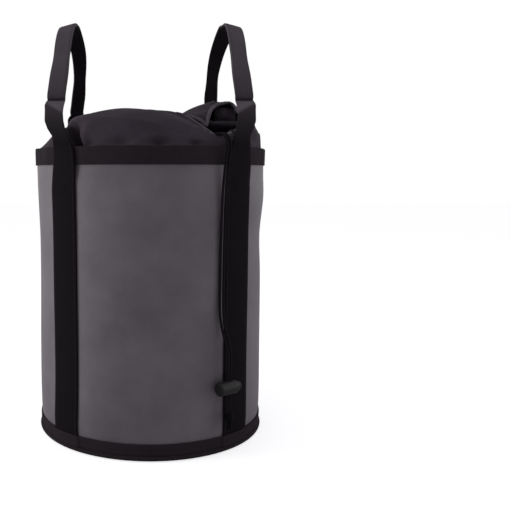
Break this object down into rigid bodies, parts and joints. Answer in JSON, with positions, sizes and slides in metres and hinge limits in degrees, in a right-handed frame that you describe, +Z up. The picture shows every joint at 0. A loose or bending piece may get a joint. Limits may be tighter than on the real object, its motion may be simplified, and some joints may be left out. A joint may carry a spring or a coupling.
{
  "type": "rope storage bag",
  "caption": "Round soft-sided rope bag with a bound rim, webbing straps that run up into folding handles, a drawcord collar, and a stiffened round base.",
  "frame": {"origin": "centre of the base on the floor, on the bag's axis", "axes": "+Z up along the bag's axis; the front, midway between the two front straps, faces -Y; +X is the bag's right as seen from the front"},
  "size_m": [0.2754, 0.2754, 0.4846],
  "materials": {
    "panel_vinyl": "grey vinyl-coated cloth, matte",
    "webbing": "black woven webbing",
    "base_cloth": "black coated cloth",
    "stiffener_sheet": "black plastic sheet",
    "thread": "black sewing thread",
    "collar_cloth": "black tightly woven cloth",
    "cord": "black braided cord",
    "lock_plastic": "black moulded plastic",
    "spring_wire": "plain spring wire"
  },
  "bodies": {
    "root": {"body_panel": "panel_vinyl", "back_seam_tape": "webbing", "base_panel": "base_cloth", "base_stiffener": "stiffener_sheet", "base_liner": "base_cloth", "base_welt": "base_cloth", "base_binding": "webbing", "rim_binding": "webbing", "strap_front_right": "webbing", "strap_front_left": "webbing", "strap_back_right": "webbing", "strap_back_left": "webbing", "bar_tacks": "thread", "collar_skirt": "collar_cloth", "collar": "collar_cloth", "collar_hem": "collar_cloth", "drawcord_loop": "cord", "drawcord_tail_left": "cord", "drawcord_tail_right": "cord", "cord_knot": "cord", "rope_tie_loop": "webbing"},
    "handle_right": {"handle_right": "webbing"},
    "handle_left": {"handle_left": "webbing"},
    "cord_lock": {"cord_lock_barrel": "lock_plastic", "cord_lock_spring": "spring_wire"},
    "cord_lock_plunger": {"cord_lock_plunger": "lock_plastic"}
  },
  "joints": [
    {"name": "handle_right_fold", "type": "hinge", "parent": "root", "child": "handle_right", "pos_m": [0.10204, 0, 0.36], "axis": [0, 1, 0], "range_deg": [-45, 145]},
    {"name": "handle_left_fold", "type": "hinge", "parent": "root", "child": "handle_left", "pos_m": [-0.10204, 0, 0.36], "axis": [0, -1, 0], "range_deg": [-45, 145]},
    {"name": "cord_lock_slide", "type": "slide", "parent": "root", "child": "cord_lock", "axis": [0, 0, 1], "range_m": [-0.02, 0.006]},
    {"name": "cord_lock_press", "type": "slide", "parent": "cord_lock", "child": "cord_lock_plunger", "axis": [-0.8039, -0.5948, 0], "range_m": [0, 0.004], "stiffness_N_per_m": 500, "springref_m": -0.004, "deforming": ["cord_lock_spring"]}
  ]
}
